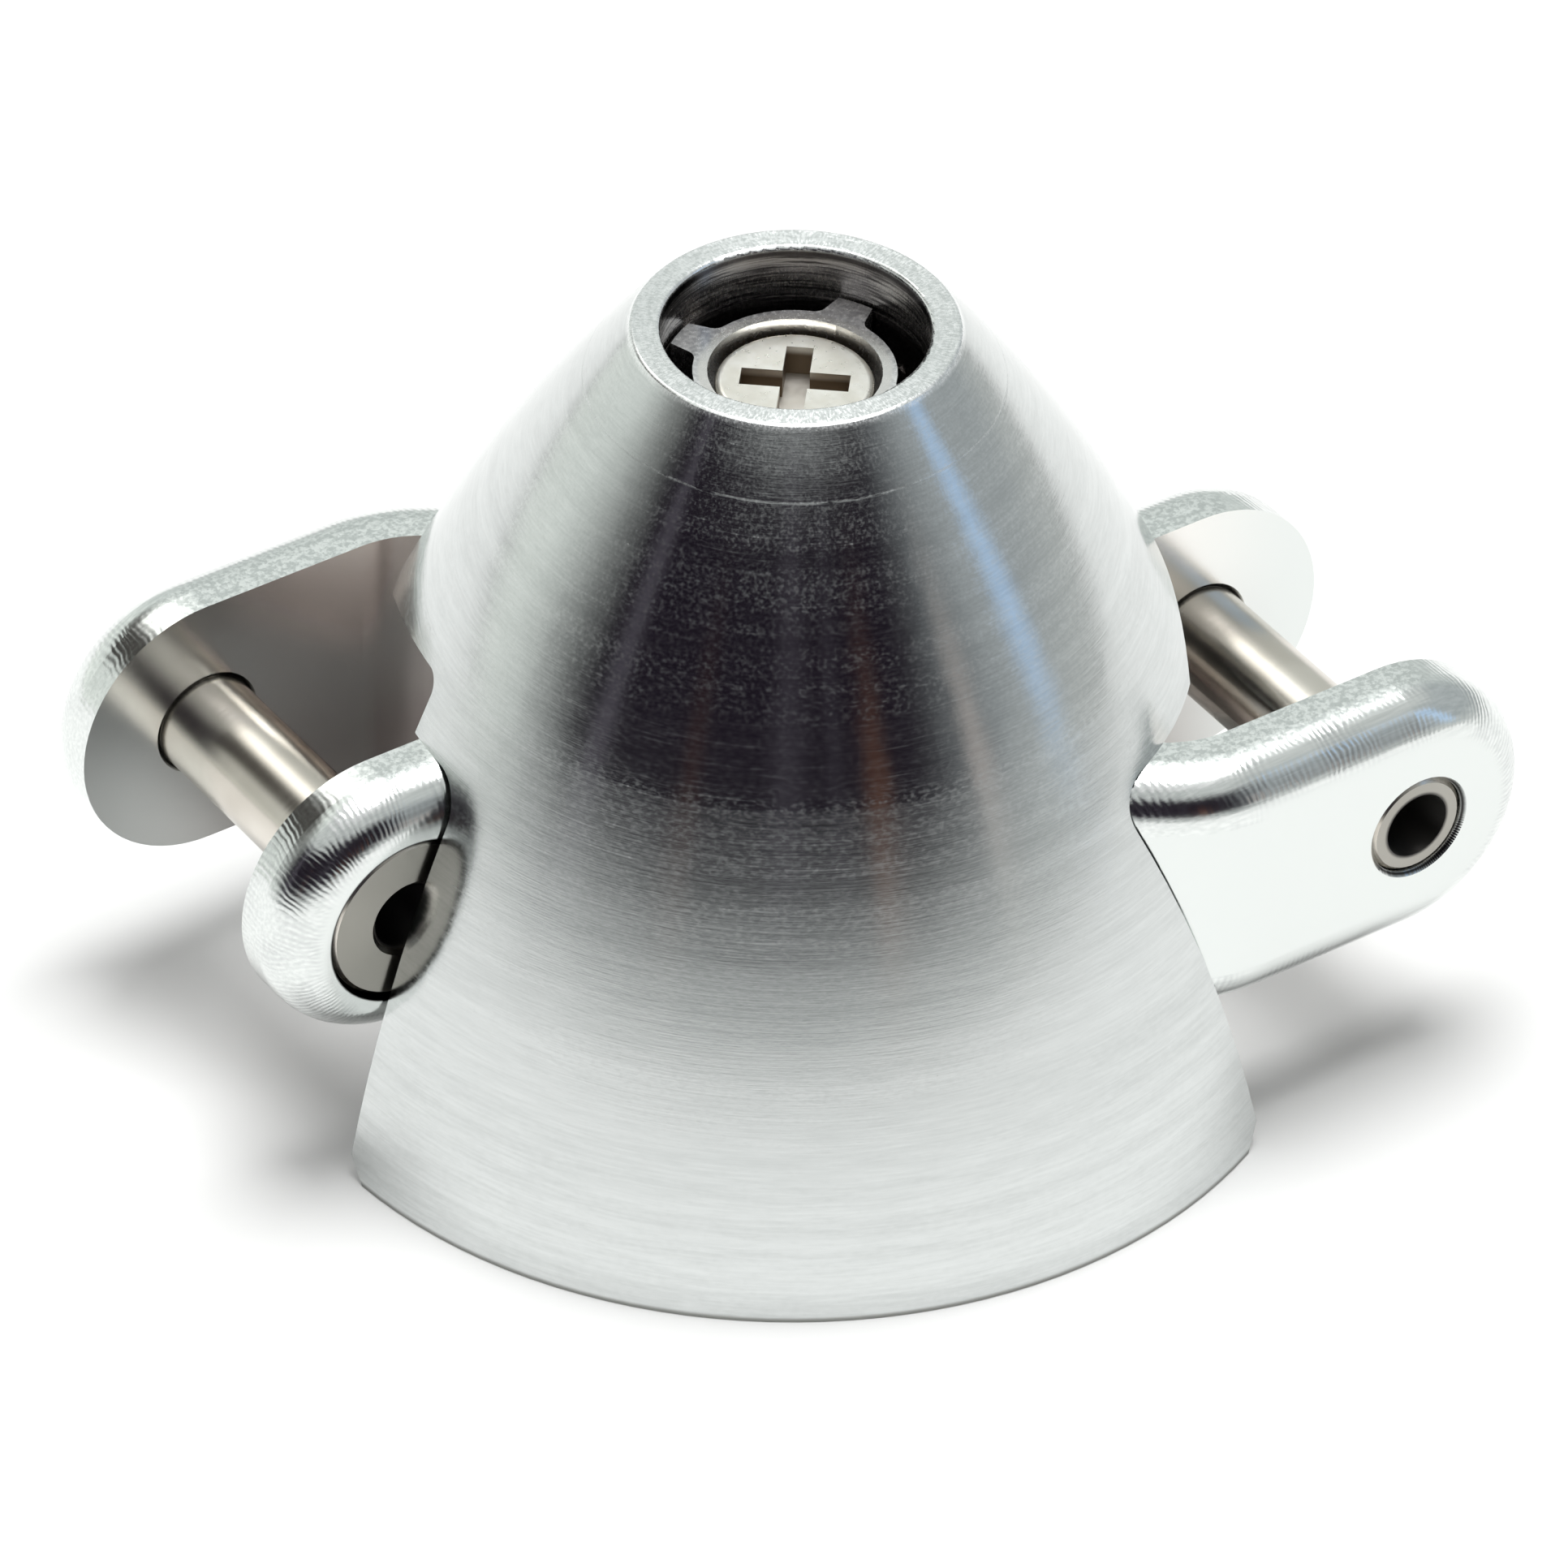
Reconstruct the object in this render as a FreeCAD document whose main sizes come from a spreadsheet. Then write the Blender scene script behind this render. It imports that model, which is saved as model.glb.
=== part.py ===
"""Spinner of a folding propeller: a ventilated cone over an offset yoke with two hinge pins.

Frame: millimetres, +Z forward along the motor shaft, origin where the shaft axis meets the
plane of the cone's open back. The yoke's arms reach along +X and -X. The whole assembly is the
same after half a turn about Z, apart from the screw and the washer in the nose.
"""
import FreeCAD, Part
import math
import os
import re
import Sketcher

NODES = (
    "spinner_cone", "blade_yoke", "blade_pin_left", "blade_pin_right",
    "star_washer", "cone_screw", "collet", "collet_nut",
)

# Driving sizes in millimetres and degrees; every other size is worked out from them.
SIZES = {
    # turned cone
    "base_radius": 15.0,
    "cone_height": 22.75,
    "nose_radius": 4.5,
    "ogive_radius": 50.0,
    "cone_wall": 1.3,
    "nose_bore_radius": 3.7,
    "rim_round": 0.12,
    "ledge_depth": 3.7,
    "ledge_thickness": 0.9,
    "ledge_opening_radius": 3.2,
    # slots that let the arms and the blade roots through the cone
    "slot_clearance": 0.1,
    "slot_corner_radius": 1.2,
    "slot_mouth_chamfer": 0.65,
    "root_sweep_radius": 6.2,
    "root_sweep_round": 0.6,
    "root_sweep_inset": 0.3,
    # yoke
    "hinge_radius": 12.8,
    "pin_height": 8.0,
    "blade_gap": 8.2,
    "lug_thickness": 2.3,
    "lug_radius": 4.05,
    "lug_overlap": 0.5,
    "lug_turn": 35.0,
    "edge_round": 1.5,
    "bend_radius": 3.0,
    "web_radius": 2.0,
    "gap_corner_radius": 1.0,
    "hub_radius": 6.65,
    # hinge pins
    "pin_radius": 1.5,
    "pin_bore_radius": 1.0,
    "pin_fit": 0.02,
    "pin_head_radius": 2.5,
    "pin_head_thickness": 0.9,
    "pin_head_clearance": 0.1,
    "pin_recess": 0.1,
    "pin_end_play": 0.03,
    "pin_chamfer": 0.12,
    "pin_bore_chamfer": 0.2,
    "hole_chamfer": 0.12,
    # washer and screw in the nose
    "washer_depth": 1.5,
    "washer_radius": 2.8,
    "washer_reach": 3.6,
    "washer_tip_width": 1.05,
    "washer_root_width": 1.35,
    "washer_root_round": 0.35,
    "washer_seat_radius": 2.4,
    "washer_floor": 0.7,
    "washer_angle": 28.0,
    "screw_radius": 1.25,
    "screw_head_radius": 2.2,
    "screw_head_height": 1.5,
    "screw_head_sink": 0.3,
    "screw_head_round": 0.2,
    "screw_tip_chamfer": 0.25,
    "screw_hole_clearance": 0.1,
    "recess_reach": 1.5,
    "recess_width": 0.75,
    "recess_depth": 0.9,
    "recess_angle": 50.0,
    # collet and its nut
    "shaft_radius": 2.0,
    "collet_back_radius": 4.3,
    "collet_front_radius": 3.7,
    "collet_fit": 0.015,
    "collet_chamfer": 0.2,
    "thread_radius": 3.0,
    "slit_width": 0.5,
    "slit_end": 2.0,
    "nut_flats": 8.0,
    "nut_height": 2.4,
    "nut_cover": 0.3,
    "nut_boss_radius": 2.7,
    "nut_gap": 0.3,
    "thread_play": 0.01,
}

# Sizes worked out from the driving ones.
DERIVED = {
    "arm_bottom": "pin_height - lug_radius",
    "arm_top": "pin_height + lug_radius",
    "lug_inner_face": "lug_overlap - lug_thickness",
    "outer_lug_inner_face": "lug_inner_face - blade_gap",
    "outer_lug_outer_face": "outer_lug_inner_face - lug_thickness",
    "arm_reach": "hinge_radius + lug_radius",
    "inner_turn_radius": "hub_radius - lug_thickness",
    "outer_bend_radius": "bend_radius + lug_thickness",
    "outer_bend_x": "(-outer_lug_outer_face * cos(lug_turn) - hub_radius) / sin(lug_turn)",
    "inner_bend_x": "(-outer_lug_inner_face * cos(lug_turn) - inner_turn_radius) / sin(lug_turn)",
    "gap_end_run": "sqrt(hub_radius ^ 2 - inner_turn_radius ^ 2)",
    "gap_corner_x": "gap_end_run * cos(lug_turn) - inner_turn_radius * sin(lug_turn)",
    "gap_corner_y": "-gap_end_run * sin(lug_turn) - inner_turn_radius * cos(lug_turn)",
    "gap_web_x": "sqrt(hub_radius ^ 2 - lug_inner_face ^ 2)",
    "slot_wall_radius": "hub_radius + slot_clearance",
    "slot_wall_y": "lug_overlap + slot_clearance",
    "ledge_height": "cone_height - ledge_depth",
    "washer_top": "cone_height - washer_depth",
    "head_top": "washer_top - screw_head_sink",
    "head_seat": "head_top - screw_head_height",
    "washer_bottom": "head_seat - washer_floor",
    "nut_top": "washer_bottom - nut_gap",
    "collet_top": "arm_top + nut_height - nut_cover",
}
FUNCTIONS = ("sqrt", "sin", "cos", "tan")
CLEAR = 5.0          # how far a cutting outline runs past the material
TOUCH = 1e-4         # how near counts as the same place

doc = FreeCAD.newDocument("spinner")
sheet = doc.addObject("Spreadsheet::Sheet", "Sizes")
for row, (alias, size) in enumerate(SIZES.items(), start=1):
    sheet.set(f"A{row}", alias)
    sheet.set(f"B{row}", str(size))
    sheet.setAlias(f"B{row}", alias)
doc.recompute()


def bound(text):
    """Turn an expression in size names into one that reads the sheet."""
    def swap(match):
        word = match.group(0)
        if word in FUNCTIONS:
            return word
        if word in DERIVED:
            return "(" + bound(DERIVED[word]) + ")"
        return "Sizes." + word
    return re.sub(r"[a-z][a-z_0-9]*", swap, str(text))


def value(text):
    """The present number of an expression in size names."""
    return float(sheet.evalExpression(bound(text)))


def new_body(label):
    body = doc.addObject("PartDesign::Body", label)
    body.Label = label
    return body


def origin_feature(body, role):
    return next(item for item in body.Origin.OriginFeatures if item.Role == role)


def new_sketch(body, name, plane, offset="0"):
    """A sketch on one of the body's origin planes, moved along the plane's normal."""
    sketch = body.newObject("Sketcher::SketchObject", name)
    sketch.AttachmentSupport = [(origin_feature(body, plane), "")]
    sketch.MapMode = "FlatFace"
    sketch.setExpression("AttachmentOffset.Base.z", bound(offset))
    return sketch


def arc_between(start, end, radius, turn):
    """The short arc from start to end; turn is +1 where it runs anticlockwise."""
    chord = end - start
    half = chord.Length / 2
    rise = math.sqrt(max(radius * radius - half * half, 0.0))
    across = FreeCAD.Vector(-chord.y, chord.x, 0) / chord.Length
    centre = (start + end) / 2 + across * rise * turn
    circle = Part.Circle(centre, FreeCAD.Vector(0, 0, 1), radius)
    first, last = (start, end) if turn > 0 else (end, start)
    return Part.ArcOfCircle(circle, circle.parameter(first), circle.parameter(last))


def draw_outline(sketch, corners, arcs=None):
    """A closed outline through bound corners; arcs[i] = (radius, turn) bends side i."""
    arcs = arcs or {}
    points = [FreeCAD.Vector(value(across), value(up), 0) for across, up in corners]
    ends = []
    for index, start in enumerate(points):
        end = points[(index + 1) % len(points)]
        if index in arcs:
            radius, turn = arcs[index]
            side = sketch.addGeometry(arc_between(start, end, value(radius), turn))
            ends.append((side, 1, 2) if turn > 0 else (side, 2, 1))
            rule = sketch.addConstraint(Sketcher.Constraint("Radius", side, value(radius)))
            sketch.setExpression(f"Constraints[{rule}]", bound(radius))
        else:
            side = sketch.addGeometry(Part.LineSegment(start, end))
            ends.append((side, 1, 2))
    for index, (side, first, last) in enumerate(ends):
        following, its_first, _ = ends[(index + 1) % len(ends)]
        sketch.addConstraint(Sketcher.Constraint("Coincident", side, last, following, its_first))
        for kind, text in zip(("DistanceX", "DistanceY"), corners[index]):
            rule = sketch.addConstraint(
                Sketcher.Constraint(kind, -1, 1, side, first, value(text)))
            sketch.setExpression(f"Constraints[{rule}]", bound(text))


def draw_circle(sketch, across, up, radius):
    centre = FreeCAD.Vector(value(across), value(up), 0)
    circle = sketch.addGeometry(Part.Circle(centre, FreeCAD.Vector(0, 0, 1), value(radius)))
    rules = (
        (Sketcher.Constraint("Radius", circle, value(radius)), radius),
        (Sketcher.Constraint("DistanceX", -1, 1, circle, 3, centre.x), across),
        (Sketcher.Constraint("DistanceY", -1, 1, circle, 3, centre.y), up),
    )
    for constraint, text in rules:
        sketch.setExpression(f"Constraints[{sketch.addConstraint(constraint)}]", bound(text))


def turn_sketch(body, name, kind, sketch, axis):
    """A full-turn Revolution or Groove of a sketch."""
    feature = body.newObject("PartDesign::" + kind, name)
    feature.Profile = sketch
    feature.ReferenceAxis = axis
    feature.Angle = 360
    return feature


def turn_profile(body, name, kind, corners, arcs=None):
    """A Revolution or Groove about Z of a profile whose corners are (radius, height)."""
    sketch = new_sketch(body, name + "_profile", "XZ_Plane")
    draw_outline(sketch, corners, arcs)
    return turn_sketch(body, name, kind, sketch, (origin_feature(body, "Z_Axis"), [""]))


def upright_axis(sketch, across):
    """A construction line along the sketch's upright at that place, as a turning axis."""
    place = value(across)
    line = sketch.addGeometry(
        Part.LineSegment(FreeCAD.Vector(place, 0, 0), FreeCAD.Vector(place, 1, 0)), True)
    for end, up in ((1, 0.0), (2, 1.0)):
        rule = sketch.addConstraint(Sketcher.Constraint("DistanceX", -1, 1, line, end, place))
        sketch.setExpression(f"Constraints[{rule}]", bound(across))
        sketch.addConstraint(Sketcher.Constraint("DistanceY", -1, 1, line, end, up))
    return (sketch, ["Axis0"])


def extrude(body, name, kind, sketch, length=None, back=False, middle=False):
    """A Pad or Pocket of a sketch; with no length a Pocket goes through everything."""
    feature = body.newObject("PartDesign::" + kind, name)
    feature.Profile = sketch
    feature.Reversed = back
    feature.Midplane = middle
    if length is None:
        feature.Type = "ThroughAll"
    else:
        feature.setExpression("Length", bound(length))
    return feature


def repeat_round(body, name, features, count):
    pattern = body.newObject("PartDesign::PolarPattern", name)
    pattern.Originals = features
    pattern.Axis = (origin_feature(body, "Z_Axis"), [""])
    pattern.Angle = 360
    pattern.Occurrences = count
    body.Tip = pattern
    return pattern


def dress(body, name, kind, size, wanted):
    """A Fillet or Chamfer on the edges of the body's tip for which wanted(edge) holds."""
    doc.recompute()
    base = body.Tip
    names = [f"Edge{n}" for n, edge in enumerate(base.Shape.Edges, start=1) if wanted(edge)]
    feature = body.newObject("PartDesign::" + kind, name)
    feature.Base = (base, names)
    feature.setExpression("Radius" if kind == "Fillet" else "Size", bound(size))
    body.Tip = feature
    return feature


def middle_of(edge):
    return edge.valueAt((edge.FirstParameter + edge.LastParameter) / 2)


def runs_along(edge, axis):
    return edge.Curve.TypeId == "Part::GeomLine" and abs(edge.Curve.Direction.dot(axis)) > 1 - TOUCH


def is_ring(edge, radius, height):
    """A full or part circle about Z of that radius at that height."""
    if edge.Curve.TypeId != "Part::GeomCircle":
        return False
    near = abs(edge.Curve.Radius - value(radius)) < TOUCH
    return near and abs(edge.Curve.Center.z - value(height)) < TOUCH


ALONG_Y = FreeCAD.Vector(0, 1, 0)
ALONG_Z = FreeCAD.Vector(0, 0, 1)


# ---- spinner cone: turned ogive shell, slotted from its open back for the two arms ----

def cut_slot_side(body, name, wall, inner_edge, out, start, turn="0"):
    """Cut one side of the slot: its wall stands at that place across the arm, its top corner
    is rounded and its mouth is chamfered. out is the wall's side, turn swings it about Z."""
    sketch = new_sketch(body, name + "_profile", "YZ_Plane", start)
    sketch.AttachmentOffset = FreeCAD.Placement(
        sketch.AttachmentOffset.Base, FreeCAD.Rotation(FreeCAD.Vector(0, 1, 0), 1))
    sketch.setExpression("AttachmentOffset.Rotation.Angle", bound(turn))
    draw_outline(sketch, [
        (inner_edge, "0"),
        (f"{wall} + {out} * slot_mouth_chamfer", "0"),
        (wall, "slot_mouth_chamfer"),
        (wall, "arm_top - slot_corner_radius"),
        (f"{wall} - {out} * slot_corner_radius", "arm_top"),
        (inner_edge, "arm_top"),
    ], {3: ("slot_corner_radius", out)})
    return extrude(body, name, "Pocket", sketch, f"base_radius + {CLEAR}", back=True)


def make_spinner_cone():
    body = new_body("spinner_cone")
    half_chord = "(sqrt((base_radius - nose_radius) ^ 2 + cone_height ^ 2) / 2)"
    rise = f"sqrt(ogive_radius ^ 2 - {half_chord} ^ 2)"
    centre_x = f"((base_radius + nose_radius) / 2 - {rise} * cone_height / (2 * {half_chord}))"
    centre_z = f"(cone_height / 2 - {rise} * (base_radius - nose_radius) / (2 * {half_chord}))"
    inner_arc = "(ogive_radius - cone_wall)"
    ledge_back = "(ledge_height - ledge_thickness)"
    turn_profile(body, "turned_shell", "Revolution", [
        ("base_radius", "0"),
        ("nose_radius", "cone_height"),
        ("nose_bore_radius", "cone_height"),
        ("nose_bore_radius", "ledge_height"),
        ("ledge_opening_radius", "ledge_height"),
        ("ledge_opening_radius", ledge_back),
        (f"{centre_x} + sqrt({inner_arc} ^ 2 - ({ledge_back} - {centre_z}) ^ 2)", ledge_back),
        (f"{centre_x} + sqrt({inner_arc} ^ 2 - {centre_z} ^ 2)", "0"),
    ], {0: ("ogive_radius", 1), 6: (inner_arc, -1)})

    straight = cut_slot_side(body, "straight_side", "slot_wall_y", "outer_lug_inner_face",
                             1, "hub_radius / 2")
    slanted = cut_slot_side(body, "slanted_side", "-slot_wall_radius", "hub_radius / 2",
                            -1, "0", "-lug_turn")
    repeat_round(body, "arm_slots", [straight, slanted], 2)

    sweep = new_sketch(body, "root_sweep_profile", "XY_Plane", "pin_height")
    near, far = "(lug_inner_face - root_sweep_inset)", "(outer_lug_inner_face + root_sweep_inset)"
    floor = "(hinge_radius - root_sweep_radius)"
    draw_outline(sweep, [
        ("hinge_radius", near),
        (f"{floor} + root_sweep_round", near),
        (floor, f"{near} - root_sweep_round"),
        (floor, f"{far} + root_sweep_round"),
        (f"{floor} + root_sweep_round", far),
        ("hinge_radius", far),
    ], {1: ("root_sweep_round", 1), 3: ("root_sweep_round", 1)})
    scoop = turn_sketch(body, "root_sweep", "Groove", sweep, upright_axis(sweep, "hinge_radius"))
    repeat_round(body, "root_sweeps", [scoop], 2)
    dress(body, "nose_rim", "Fillet", "rim_round", lambda edge: (
        is_ring(edge, "nose_radius", "cone_height")
        or is_ring(edge, "nose_bore_radius", "cone_height")))
    return body


# ---- blade yoke: a hub with two forked arms, offset sideways in opposite directions ----

def make_blade_yoke():
    body = new_body("blade_yoke")
    plan = new_sketch(body, "yoke_plan", "XY_Plane", "arm_bottom")
    tangent_x = "hub_radius * sin(lug_turn)"
    tangent_y = "hub_radius * cos(lug_turn)"
    bend_run = "(outer_bend_radius * tan(lug_turn / 2))"
    web_x = "sqrt((hub_radius + web_radius) ^ 2 - (lug_overlap + web_radius) ^ 2)"
    web_share = "hub_radius / (hub_radius + web_radius)"
    half = [
        ("arm_reach", "outer_lug_outer_face"),
        ("arm_reach", "lug_overlap"),
        (web_x, "lug_overlap"),
        (f"{web_x} * {web_share}", f"(lug_overlap + web_radius) * {web_share}"),
        (tangent_x, tangent_y),
        (f"-(outer_bend_x - {bend_run} * cos(lug_turn))",
         f"-outer_lug_outer_face - {bend_run} * sin(lug_turn)"),
        (f"-(outer_bend_x + {bend_run})", "-outer_lug_outer_face"),
    ]
    bends = {2: ("web_radius", -1), 3: ("hub_radius", 1), 5: ("outer_bend_radius", 1)}
    other_half = [(f"-({across})", f"-({up})") for across, up in half]
    other_bends = {side + len(half): bend for side, bend in bends.items()}
    draw_outline(plan, half + other_half, {**bends, **other_bends})
    extrude(body, "yoke_blank", "Pad", plan, "2 * lug_radius")

    end = new_sketch(body, "lug_end_outline", "XZ_Plane")
    past = f"(arm_reach + {CLEAR})"
    draw_outline(end, [
        ("hinge_radius", "arm_bottom"),
        ("arm_reach", "pin_height"),
        ("hinge_radius", "arm_top"),
        ("hinge_radius", f"arm_top + {CLEAR}"),
        (past, f"arm_top + {CLEAR}"),
        (past, f"arm_bottom - {CLEAR}"),
        ("hinge_radius", f"arm_bottom - {CLEAR}"),
    ], {0: ("lug_radius", 1), 1: ("lug_radius", 1)})
    end_cut = extrude(body, "lug_end", "Pocket", end, middle=True)
    repeat_round(body, "lug_ends", [end_cut], 2)
    dress(body, "rounded_edges", "Fillet", "edge_round",
          lambda edge: not runs_along(edge, ALONG_Y) and not runs_along(edge, ALONG_Z))

    gap = new_sketch(body, "gap_plan", "XY_Plane", "arm_bottom")
    bend_run = "(bend_radius * tan(lug_turn / 2))"
    corners = [("gap_web_x", "lug_inner_face"), ("gap_corner_x", "gap_corner_y")]
    draw_outline(gap, [
        (past, "outer_lug_inner_face"),
        (past, "lug_inner_face"),
        *corners,
        (f"inner_bend_x - {bend_run} * cos(lug_turn)",
         f"outer_lug_inner_face + {bend_run} * sin(lug_turn)"),
        (f"inner_bend_x + {bend_run}", "outer_lug_inner_face"),
    ], {2: ("hub_radius", -1), 4: ("bend_radius", 1)})
    gap_cut = extrude(body, "blade_gap", "Pocket", gap, middle=True)
    repeat_round(body, "blade_gaps", [gap_cut], 2)
    places = [FreeCAD.Vector(value(x) * side, value(y) * side, 0)
              for x, y in corners for side in (1, -1)]

    def at_gap_corner(edge):
        spot = middle_of(edge)
        spot.z = 0
        return runs_along(edge, ALONG_Z) and min((spot - place).Length for place in places) < TOUCH
    dress(body, "gap_corners", "Fillet", "gap_corner_radius", at_gap_corner)

    hole = new_sketch(body, "pin_hole_circle", "XZ_Plane")
    draw_circle(hole, "hinge_radius", "pin_height", "pin_radius + pin_fit")
    hole_cut = extrude(body, "pin_hole", "Pocket", hole, middle=True)
    repeat_round(body, "pin_holes", [hole_cut], 2)

    seat = new_sketch(body, "head_seat_circle", "XZ_Plane", "-lug_overlap")
    draw_circle(seat, "hinge_radius", "pin_height", "pin_head_radius + pin_head_clearance")
    seat_cut = extrude(body, "head_seat", "Pocket", seat,
                       "pin_recess + pin_head_thickness + pin_end_play", back=True)
    repeat_round(body, "head_seats", [seat_cut], 2)

    faces = [-value(name) for name in (
        "lug_inner_face", "outer_lug_inner_face", "outer_lug_outer_face")]

    def at_hole_mouth(edge):
        if edge.Curve.TypeId != "Part::GeomCircle":
            return False
        on_face = min(abs(abs(edge.Curve.Center.y) - face) for face in faces) < TOUCH
        return on_face and abs(edge.Curve.Radius - value("pin_radius + pin_fit")) < TOUCH
    dress(body, "hole_edges", "Chamfer", "hole_chamfer", at_hole_mouth)

    turn_profile(body, "taper_bore", "Groove", [
        ("0", "arm_bottom"),
        ("collet_back_radius + collet_fit", "arm_bottom"),
        ("collet_front_radius + collet_fit", "arm_top"),
        ("0", "arm_top"),
    ])
    return body


# ---- hinge pin: hollow, with a flat head sunk in the inner lug ----

def make_blade_pin(label, half_turn):
    """The pin of the left arm, or with half_turn that of the right arm."""
    body = new_body(label)
    head_face = "(pin_recess - lug_overlap)"
    plain_end = "(-outer_lug_outer_face - pin_recess)"
    side = new_sketch(body, label + "_profile", "XY_Plane")
    draw_outline(side, [
        ("-hinge_radius + pin_bore_radius + pin_bore_chamfer", head_face),
        ("-hinge_radius + pin_head_radius - pin_chamfer", head_face),
        ("-hinge_radius + pin_head_radius", f"{head_face} + pin_chamfer"),
        ("-hinge_radius + pin_head_radius", f"{head_face} + pin_head_thickness"),
        ("-hinge_radius + pin_radius", f"{head_face} + pin_head_thickness"),
        ("-hinge_radius + pin_radius", f"{plain_end} - pin_chamfer"),
        ("-hinge_radius + pin_radius - pin_chamfer", plain_end),
        ("-hinge_radius + pin_bore_radius", plain_end),
        ("-hinge_radius + pin_bore_radius", f"{head_face} + pin_bore_chamfer"),
    ])
    turn_sketch(body, label + "_turned", "Revolution", side, upright_axis(side, "-hinge_radius"))
    lift = FreeCAD.Vector(0, 0, 1)
    body.Placement = FreeCAD.Placement(
        FreeCAD.Vector(), FreeCAD.Rotation(lift, 180 if half_turn else 0))
    body.setExpression("Placement.Base.z", bound("pin_height"))
    return body


# ---- star washer: a cup for the screw head whose four lugs stand on the cone's ledge ----

def make_star_washer():
    body = new_body("star_washer")
    turn_profile(body, "cup", "Revolution", [
        ("screw_radius + screw_hole_clearance", "washer_bottom"),
        ("washer_radius", "washer_bottom"),
        ("washer_radius", "washer_top"),
        ("washer_seat_radius", "washer_top"),
        ("washer_seat_radius", "head_seat"),
        ("screw_radius + screw_hole_clearance", "head_seat"),
    ])
    plan = new_sketch(body, "lug_plan", "XY_Plane", "ledge_height")
    tip_x = "sqrt(washer_reach ^ 2 - (washer_tip_width / 2) ^ 2)"
    root_x = "(washer_radius + washer_seat_radius) / 2"
    draw_outline(plan, [
        (root_x, "-washer_root_width / 2"),
        (tip_x, "-washer_tip_width / 2"),
        (tip_x, "washer_tip_width / 2"),
        (root_x, "washer_root_width / 2"),
    ], {1: ("washer_reach", 1)})
    lug = extrude(body, "lug", "Pad", plan, "ledge_depth - washer_depth")
    repeat_round(body, "lugs", [lug], 4)

    def at_root(edge):
        spot = middle_of(edge)
        from_axis = math.hypot(spot.x, spot.y)
        return (runs_along(edge, ALONG_Z) and abs(from_axis - value("washer_radius")) < TOUCH
                and spot.z > value("ledge_height"))
    dress(body, "lug_roots", "Fillet", "washer_root_round", at_root)
    body.setExpression("Placement.Rotation.Angle", bound("washer_angle"))
    return body


# ---- cone screw: cheese head with a cross recess ----

def make_cone_screw():
    body = new_body("cone_screw")
    turn_profile(body, "screw_blank", "Revolution", [
        ("0", "collet_top + nut_cover"),
        ("screw_radius - screw_tip_chamfer", "collet_top + nut_cover"),
        ("screw_radius", "collet_top + nut_cover + screw_tip_chamfer"),
        ("screw_radius", "head_seat"),
        ("screw_head_radius", "head_seat"),
        ("screw_head_radius", "head_top - screw_head_round"),
        ("screw_head_radius - screw_head_round", "head_top"),
        ("0", "head_top"),
    ], {5: ("screw_head_round", 1)})
    plan = new_sketch(body, "recess_plan", "XY_Plane", "head_top")
    reach, half = "recess_reach", "(recess_width / 2)"
    wing = [(reach, f"-{half}"), (reach, half), (half, half)]
    corners = []
    for quarter in range(4):
        for across, up in wing:
            turned = [(across, up), (f"-{up}", across), (f"-{across}", f"-{up}"), (up, f"-{across}")]
            corners.append(tuple(text.replace("--", "") for text in turned[quarter]))
    draw_outline(plan, corners)
    extrude(body, "cross_recess", "Pocket", plan, "recess_depth")
    body.setExpression("Placement.Rotation.Angle", bound("recess_angle"))
    return body


# ---- collet: split taper sleeve that grips the motor shaft when its nut draws it forward ----

def make_collet():
    body = new_body("collet")
    shoulder = "arm_top"
    turn_profile(body, "sleeve", "Revolution", [
        ("shaft_radius + collet_chamfer", "arm_bottom"),
        ("collet_back_radius", "arm_bottom"),
        ("collet_front_radius", shoulder),
        ("thread_radius", shoulder),
        ("thread_radius", "collet_top"),
        ("shaft_radius", "collet_top"),
        ("shaft_radius", "arm_bottom + collet_chamfer"),
    ])
    slit_plan = new_sketch(body, "slit_plan", "XY_Plane", "arm_bottom")
    draw_outline(slit_plan, [
        ("0", "-slit_width / 2"),
        (f"collet_back_radius + {CLEAR}", "-slit_width / 2"),
        (f"collet_back_radius + {CLEAR}", "slit_width / 2"),
        ("0", "slit_width / 2"),
    ])
    slit = extrude(body, "slit", "Pocket", slit_plan, "2 * lug_radius - slit_end", back=True)
    repeat_round(body, "slits", [slit], 4)
    return body


# ---- collet nut: thin hexagon with a boss that is tapped for the cone screw ----

def make_collet_nut():
    body = new_body("collet_nut")
    plan = new_sketch(body, "hexagon", "XY_Plane", "arm_top")
    corners = [(f"nut_flats / sqrt(3) * cos({60 * n})", f"nut_flats / sqrt(3) * sin({60 * n})")
               for n in range(6)]
    draw_outline(plan, corners)
    extrude(body, "hexagon_blank", "Pad", plan, "nut_height")
    turn_profile(body, "boss", "Revolution", [
        ("0", "arm_top + nut_height / 2"),
        ("nut_boss_radius", "arm_top + nut_height / 2"),
        ("nut_boss_radius", "nut_top"),
        ("0", "nut_top"),
    ])
    turn_profile(body, "threads", "Groove", [
        ("0", "arm_top"),
        ("thread_radius + thread_play", "arm_top"),
        ("thread_radius + thread_play", "collet_top + nut_cover / 2"),
        ("screw_radius + thread_play", "collet_top + nut_cover / 2"),
        ("screw_radius + thread_play", "nut_top"),
        ("0", "nut_top"),
    ])
    corner_cut = "(nut_flats / 2 * 0.95)"
    turn_profile(body, "corner_bevel", "Groove", [
        (corner_cut, "arm_top + nut_height"),
        (f"nut_flats / sqrt(3) + {CLEAR}", "arm_top + nut_height"),
        (f"nut_flats / sqrt(3) + {CLEAR}",
         f"arm_top + nut_height - (nut_flats / sqrt(3) + {CLEAR} - {corner_cut}) * tan(30)"),
    ])
    return body


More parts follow.
